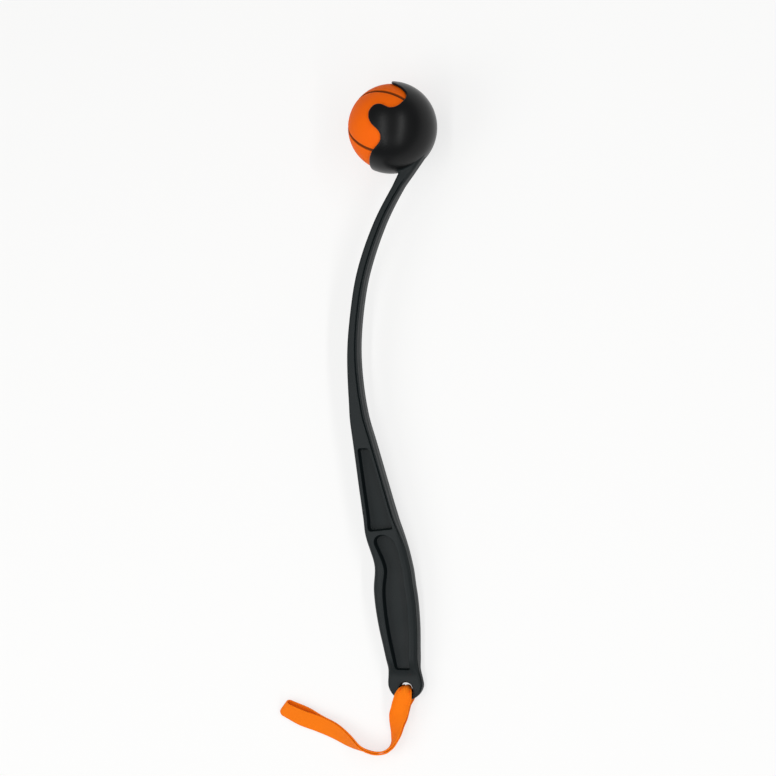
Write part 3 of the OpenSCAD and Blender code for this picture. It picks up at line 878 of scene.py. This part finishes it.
strap_points = laid(np.array(strap_rings).transpose(1, 0, 2))
ring_count = len(tape_ring)
strap = new_piece("wrist_strap_tape", strap_points, ring_faces(steps, ring_count, closed=True), crease=60)
print("strap faces:", len(strap.data.polygons))

# %% [markdown]
# ## A map for the weave
#
# The weave has to follow the tape round every bend, so it can't be placed in space. A UV map in
# millimetres, across and along the tape, carries it. Only the faces that close the loop need care:
# their far side is one whole loop along, not back at zero.

# %% The strap's map
woven = strap.data.uv_layers.new(name="tape_mm")
for polygon in strap.data.polygons:
    corners = [divmod(strap.data.loops[i].vertex_index, ring_count) for i in polygon.loop_indices]
    closing = max(corners)[0] - min(corners)[0] > 1
    for i, (row, spot) in zip(polygon.loop_indices, corners):
        down = (steps if closing and row == 0 else row) * loop_length / steps
        woven.data[i].uv = (tape_ring[spot][0] + half_w, down)
print("weave map", TAPE_W, "x", round(max(corner.uv.y for corner in woven.data), 1), "mm")

# %% [markdown]
# ## The bar tack
#
# The loop is closed by a bar tack on the under layer, near the hole. Each stitch is a short thread
# that dives into the tape at both ends, so it is swept along a small arc. A bump in the tape's finish
# would be simpler, but the stitching is a piece of the CAD, so here it is real thread too.

# %% One stitch
THREAD_R, STITCH, THREAD_UP, THREAD_ARCH = 0.24, 1.7, 0.12, 0.2
STITCH_RINGS, THREAD_SIDES, THREAD_THINS = 11, 8, 0.75
turns = np.linspace(0, 2 * math.pi, THREAD_SIDES, endpoint=False)


def stitch(centre, over, down):
    """Rings of one stitch across the tape, thinner at both ends, where it dives in."""
    along_tape = np.cross(over, down)
    rings = []
    for t in np.linspace(-1, 1, STITCH_RINGS):
        height = TAPE_T / 2 + THREAD_UP + THREAD_ARCH * math.cos(math.pi / 2 * t)
        mid = centre + over * STITCH / 2 * t + down * height
        r = THREAD_R * (1 - THREAD_THINS * t**4)
        rings.append([mid + r * (math.cos(a) * along_tape + math.sin(a) * down) for a in turns])
    return rings


print("thread", 2 * THREAD_R, "mm, stitch", STITCH, "mm")

# %% Two rows of stitches
TACK_AT, TACK_STITCHES, TACK_W = (1.1, 1.5), 6, 0.8 * TAPE_W
TACK_AHEAD = 0.05
stitch_rings, stitch_faces = [], []
for s in TACK_AT:
    tape_at, over, _ = tape_frame(s, -1)
    before, after = (tape_frame(s + step, -1)[0] for step in (-TACK_AHEAD, TACK_AHEAD))
    down = -np.cross(unit(after - before), over)
    for i in range(TACK_STITCHES):
        base = len(stitch_rings) * THREAD_SIDES
        stitch_faces += [tuple(base + k for k in f) for f in ring_faces(STITCH_RINGS, THREAD_SIDES)]
        stitch_rings += stitch(tape_at + over * TACK_W * ((i + 0.5) / TACK_STITCHES - 0.5), over, down)
tack = new_piece("bar_tack", laid(stitch_rings), stitch_faces, crease=60)
print("stitches:", len(TACK_AT) * TACK_STITCHES, "faces:", len(tack.data.polygons))

# %% [markdown]
# ## Finishes
#
# Colours are written as sRGB hex, as a colour picker shows them, and one function turns them to the
# linear values that shaders need. One small function adds a node with its settings and links, so each
# material below reads as a list of what happens to the surface. Patterns are placed in real sizes.

# %% Colours and sizes
def colour(code):
    """The linear colour of an sRGB hex code."""
    parts = [int(code[i:i + 2], 16) / 255 for i in (1, 3, 5)]
    return tuple(c / 12.92 if c <= 0.04045 else ((c + 0.055) / 1.055) ** 2.4 for c in parts) + (1.0,)


def per_mm(size):
    """A noise scale whose cells are about size mm across, in metres of object space."""
    return 1 / (size * MM)


print("#808080 is", round(colour("#808080")[0], 3), "of white in linear light")

# %% Nodes
def feed(tree, node, inputs):
    """Sets a node's inputs, or links them where the value is another node's socket."""
    for key, value in inputs.items():
        if isinstance(value, bpy.types.NodeSocket):
            tree.links.new(value, node.inputs[key])
        else:
            node.inputs[key].default_value = value


def add(tree, kind, inputs=None, **settings):
    """A new node with its settings and inputs."""
    node = tree.nodes.new(kind)
    for key, value in settings.items():
        setattr(node, key, value)
    feed(tree, node, inputs or {})
    return node


def new_material(name):
    """A material, its node tree and its main shader."""
    made = bpy.data.materials.new(name)
    made.use_nodes = True
    return made, made.node_tree, made.node_tree.nodes["Principled BSDF"]


print("helpers:", [helper.__name__ for helper in (feed, add, new_material)])

# %% [markdown]
# ### Moulded polypropylene, black
#
# The stick is a tough, slightly flexible thermoplastic such as polypropylene, moulded in a tool with a
# finely eroded surface. That gives a soft satin on the cup, and a duller face on the shaft and handle,
# which are grained for the hand. Both have a faint mottle where the melt flowed, and a fine grain that
# is drawn coarser here than the real 0.1 mm, so that it shows.

# %% Black plastic
FLOW_MM, GRAIN_MM = 26, 0.9
NOISE_LOW, NOISE_HIGH = 0.3, 0.7


def black_plastic(name, dark, light, smoothest, dullest, gloss):
    """Black plastic between two tones and two roughnesses."""
    made, tree, skin = new_material(name)
    where = add(tree, "ShaderNodeTexCoord").outputs["Object"]
    flow = add(tree, "ShaderNodeTexNoise", {
        "Vector": where, "Scale": per_mm(FLOW_MM), "Detail": 3.0, "Roughness": 0.55,
    }).outputs["Fac"]
    grain = add(tree, "ShaderNodeTexNoise", {
        "Vector": where, "Scale": per_mm(GRAIN_MM), "Detail": 2.0, "Roughness": 0.6,
    }).outputs["Fac"]
    tone = add(tree, "ShaderNodeMix", {0: flow, 6: colour(dark), 7: colour(light)}, data_type="RGBA")
    dull = add(tree, "ShaderNodeMapRange", {
        "Value": flow, "From Min": NOISE_LOW, "From Max": NOISE_HIGH, "To Min": smoothest, "To Max": dullest,
    })
    bump = add(tree, "ShaderNodeBump", {"Height": grain, "Strength": 0.12, "Distance": 0.06 * MM})
    feed(tree, skin, {
        "Base Color": tone.outputs[2],
        "Roughness": dull.outputs["Result"],
        "Normal": bump.outputs["Normal"],
        "IOR": 1.49,
        "Specular IOR Level": gloss,
    })
    print("made", name)
    return made


satin_plastic = black_plastic(
    "polypropylene_moulded_satin_black", "#08090a", "#0e0f10", smoothest=0.29, dullest=0.36, gloss=0.2,
)
grained_plastic = black_plastic(
    "polypropylene_moulded_grained_black", "#060f11", "#0b1618", smoothest=0.5, dullest=0.57, gloss=0.3,
)

# %% [markdown]
# ### Natural rubber, moulded orange
#
# The ball is vulcanised rubber with an orange pigment. It is matt and slightly blotchy. Its grooves carry a
# dark painted seam line, and the same dark brown also stands in for the shade that falls into a groove, as
# painted shade. The grooves are found by the distance to their two planes, in the ball's own turn, so that
# the dark line follows the geometry exactly.

# %% Painted seam line and painted shade in the grooves
GROOVE_DARK_MM, GROOVE_PLAIN_MM = 0.95, 1.6
rubber, tree, skin = new_material("natural_rubber_moulded_orange")
where = add(tree, "ShaderNodeTexCoord").outputs["Object"]
from_ball = add(tree, "ShaderNodeVectorMath", {0: where, 1: tuple(BALL_AT)}, operation="SUBTRACT").outputs[0]
planes = []
for axis in groove_axes:
    facing = tuple(TIP @ BALL_TURN @ axis)
    off_plane = add(tree, "ShaderNodeVectorMath", {0: from_ball, 1: facing}, operation="DOT_PRODUCT")
    distance = add(tree, "ShaderNodeMath", {0: off_plane.outputs["Value"]}, operation="ABSOLUTE")
    planes.append(distance.outputs[0])
nearest = add(tree, "ShaderNodeMath", {0: planes[0], 1: planes[1]}, operation="MINIMUM").outputs[0]
# Dark near the groove planes: partly the ball's dark painted seam line, partly painted shade in the groove.
groove_line_and_shade = add(tree, "ShaderNodeMapRange", {
    "Value": nearest, "From Min": GROOVE_DARK_MM * MM, "From Max": GROOVE_PLAIN_MM * MM, "To Min": 1.0, "To Max": 0.0,
}).outputs["Result"]
print("grooves dark up to", GROOVE_DARK_MM, "mm and clean from", GROOVE_PLAIN_MM, "mm off their planes")

# %% Orange rubber
MOTTLE_MM, PORE_MM = 11, 0.8
mottle = add(tree, "ShaderNodeTexNoise", {
    "Vector": where, "Scale": per_mm(MOTTLE_MM), "Detail": 4.0, "Roughness": 0.6,
}).outputs["Fac"]
pores = add(tree, "ShaderNodeTexNoise", {
    "Vector": where, "Scale": per_mm(PORE_MM), "Detail": 2.0, "Roughness": 0.6,
}).outputs["Fac"]
tone = add(tree, "ShaderNodeMix", {0: mottle, 6: colour("#f26000"), 7: colour("#fa6e04")}, data_type="RGBA")
# The grooves turn dark brown: a painted seam line plus painted shade.
lined_and_shaded = add(tree, "ShaderNodeMix", {0: groove_line_and_shade, 6: tone.outputs[2], 7: colour("#703204")}, data_type="RGBA")
dull = add(tree, "ShaderNodeMapRange", {
    "Value": mottle, "From Min": NOISE_LOW, "From Max": NOISE_HIGH, "To Min": 0.58, "To Max": 0.70,
})
bump = add(tree, "ShaderNodeBump", {"Height": pores, "Strength": 0.15, "Distance": 0.08 * MM})
feed(tree, skin, {
    "Base Color": lined_and_shaded.outputs[2],
    "Roughness": dull.outputs["Result"],
    "Normal": bump.outputs["Normal"],
    "IOR": 1.52,
    "Specular IOR Level": 0.1,
})
print("made", rubber.name)

# %% [markdown]
# ### Polyester webbing, plain woven
#
# The tape is woven from bulky polyester yarn. Under and over crossings make small pillows in rows. Two
# sines, one across and one along the tape's UV map in millimetres, give the crossings. The real pitch
# is near 0.9 mm. It is drawn at 1.8 mm, so that it shows. A slow noise lets the colour fade in places.

# %% Pillows of the weave
WEAVE_MM = 1.8
webbing, tree, skin = new_material("polyester_webbing_woven_orange")
flat_mm = add(tree, "ShaderNodeUVMap", uv_map="tape_mm").outputs["UV"]
ways = add(tree, "ShaderNodeSeparateXYZ", {0: flat_mm}).outputs
waves = []
for name in ("X", "Y"):
    phase = add(tree, "ShaderNodeMath", {0: ways[name], 1: 2 * math.pi / WEAVE_MM}, operation="MULTIPLY")
    waves.append(add(tree, "ShaderNodeMath", {0: phase.outputs[0]}, operation="SINE").outputs[0])
crossings = add(tree, "ShaderNodeMath", {0: waves[0], 1: waves[1]}, operation="MULTIPLY").outputs[0]
heights = {"Value": crossings, "From Min": -1.0, "From Max": 1.0}
pillow = add(tree, "ShaderNodeMapRange", heights).outputs["Result"]
print("crossings across the tape:", round(2 * TAPE_W / WEAVE_MM, 1))

# %% Orange webbing
FADES_PER_MM = 0.22
fades = add(tree, "ShaderNodeTexNoise", {
    "Vector": flat_mm, "Scale": FADES_PER_MM, "Detail": 4.0, "Roughness": 0.6,
}).outputs["Fac"]
# Painted shade and highlight: the colour is darker in the low parts between the crossings and lighter on the
# pillows' tops.
shaded_weave_tone = add(tree, "ShaderNodeMix", {0: pillow, 6: colour("#ee6d04"), 7: colour("#fa7e0c")}, data_type="RGBA")
faded = add(tree, "ShaderNodeMix", {0: fades, 6: shaded_weave_tone.outputs[2], 7: colour("#f87d0e")}, data_type="RGBA")
bump = add(tree, "ShaderNodeBump", {"Height": pillow, "Strength": 0.35, "Distance": 0.15 * MM})
feed(tree, skin, {
    "Base Color": faded.outputs[2],
    "Normal": bump.outputs["Normal"],
    "Roughness": 0.82,
    "IOR": 1.5,
    "Specular IOR Level": 0.12,
    "Sheen Weight": 0.02,
})
print("made", webbing.name)

# %% [markdown]
# ### Polyester sewing thread
#
# The tack is sewn in a slightly darker orange thread. Its two plies twist, so fine slanted bands run
# along it. A wave pattern that runs diagonally gives such bands without any more geometry.

# %% Thread
PLY_MM = 2.4
thread_finish, tree, skin = new_material("polyester_thread_twisted_orange")
where = add(tree, "ShaderNodeTexCoord").outputs["Object"]
bands = {"Vector": where, "Scale": per_mm(PLY_MM), "Distortion": 1.0}
plies = add(tree, "ShaderNodeTexWave", bands, bands_direction="DIAGONAL").outputs["Fac"]
tone = add(tree, "ShaderNodeMix", {0: plies, 6: colour("#cf6508"), 7: colour("#e2740f")}, data_type="RGBA")
feed(tree, skin, {"Base Color": tone.outputs[2], "Roughness": 0.6})
print("made", thread_finish.name)

# %% [markdown]
# ## Dress the frame
#
# Each new piece rides on the CAD body that it belongs to and takes its finish, and the CAD nodes that it
# stands for are hidden.

# %% Ride, replace and give each its finish
dressed = []
for piece, finish, body, nodes, slot in (
    (stick, grained_plastic, "stick", ("shaft", "handle"), "stick_plastic"),
    (cup, satin_plastic, "stick", ("ball_cup",), "stick_plastic"),
    (ball, rubber, "ball", ("ball_half_near", "ball_half_far"), "ball_rubber"),
    (strap, webbing, "strap", ("wrist_strap",), "strap_webbing"),
    (tack, thread_finish, "strap", ("strap_stitching",), "strap_thread"),
):
    piece.data.materials.clear()
    piece.data.materials.append(finish)
    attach(piece, body)
    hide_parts(*nodes)
    dressed.append(piece.name)
print("pieces dressed:", dressed)

# %% [markdown]
# ## The floor
#
# The launcher lies on a plain pale floor, which glows a little for the camera and for what shiny or
# clear surfaces mirror to it. So the background is white without more light on the object, and the
# floor still takes a shadow. A brighter lamp would whiten the floor too, but would bleach the orange.

# %% Floor
FLOOR_HALF, PAPER_GLOW = 4, 0.7
WHITE = (1, 1, 1, 1)
floor_mesh = bpy.data.meshes.new("floor")
floor_corners = [(x * FLOOR_HALF, y * FLOOR_HALF, 0) for x, y in ((-1, -1), (1, -1), (1, 1), (-1, 1))]
floor_mesh.from_pydata(floor_corners, [], [(0, 1, 2, 3)])
floor = bpy.data.objects.new("floor", floor_mesh)
scene.collection.objects.link(floor)
paper, tree, skin = new_material("paper_floor_matt_white")
feed(tree, skin, {"Base Color": colour("#f3f3f1"), "Roughness": 0.9})
ray = add(tree, "ShaderNodeLightPath").outputs
seen = ray["Is Camera Ray"]
for kind in ("Is Glossy Ray", "Is Transmission Ray"):
    seen = add(tree, "ShaderNodeMath", {0: seen, 1: ray[kind]}, operation="MAXIMUM").outputs[0]
share = add(tree, "ShaderNodeMath", {0: seen, 1: PAPER_GLOW}, operation="MULTIPLY").outputs[0]
glow = add(tree, "ShaderNodeEmission", {"Color": WHITE, "Strength": 1.0})
lit = add(tree, "ShaderNodeMixShader", {0: share, 1: skin.outputs[0], 2: glow.outputs[0]})
feed(tree, tree.nodes["Material Output"], {"Surface": lit.outputs[0]})
floor_mesh.materials.append(paper)
print("floor", [round(v) for v in floor.dimensions[:2]], "m, finish", paper.name)

# %% [markdown]
# ## The camera
#
# The photograph looks almost straight down, rolled fifteen degrees about the stick, from about a metre
# and a half. The camera is placed in the drawing's own frame, so its aim is two plain lengths, and the
# lens follows from the distance and the width that it has to see.

# %% Camera
ROLL, FAR_MM, VIEW_MM = math.radians(15), 1500, 582
AIM_RIGHT, AIM_OVER = -2.475, -195.3
SENSOR_MM, CLIP_END = 36, 50
right = np.array([math.cos(ROLL), 0, -math.sin(ROLL)])
over = np.array([0, 1.0, 0])
toward = np.array([math.sin(ROLL), 0, math.cos(ROLL)])
eye = AIM_RIGHT * right + AIM_OVER * over + FAR_MM * toward
camera = bpy.data.objects.new("camera", bpy.data.cameras.new("camera"))
scene.collection.objects.link(camera)
pose = Matrix(np.column_stack([TIP @ right, TIP @ over, TIP @ toward]).tolist()).to_4x4()
pose.translation = Vector(laid(eye))
camera.matrix_world = pose
camera.data.sensor_width = SENSOR_MM
camera.data.lens = SENSOR_MM * FAR_MM / VIEW_MM
camera.data.clip_end = CLIP_END
scene.camera = camera
print("lens", round(camera.data.lens, 1), "mm")

# %% [markdown]
# ## The lamps
#
# A soft square lamp at the left lights the whole launcher. One long strip overhead and one at the
# right draw the soft streaks on the black cup, because a glossy black shows little but what it
# mirrors. A dim, even sky fills the shadows.

# %% Lights
SKY_STRENGTH = 0.32


def lamp(name, at, aim, size, power):
    """A rectangular area lamp that faces a point."""
    data = bpy.data.lights.new(name, "AREA")
    data.shape = "RECTANGLE"
    data.size, data.size_y = size
    data.energy = power
    made = bpy.data.objects.new(name, data)
    scene.collection.objects.link(made)
    made.location = at
    made.rotation_euler = (Vector(aim) - Vector(at)).to_track_quat("-Z", "Y").to_euler()


lamp("key", at=(-1.0, -0.45, 1.15), aim=(0, -0.05, 0.02), size=(0.9, 0.9), power=7)
lamp("top_strip", at=(-0.12, -0.4, 1.4), aim=(0, -0.4, 0.02), size=(2.2, 0.1), power=8.2)
lamp("right_strip", at=(0.9, -0.3, 1.1), aim=(0, -0.3, 0.02), size=(2.2, 0.1), power=8.2)
world = bpy.data.worlds.new("studio")
scene.world = world
world.use_nodes = True
sky = world.node_tree.nodes["Background"]
feed(world.node_tree, sky, {"Color": WHITE, "Strength": SKY_STRENGTH})
scene.view_settings.view_transform = "Standard"
print("lamps:", [light.name for light in bpy.data.lights])
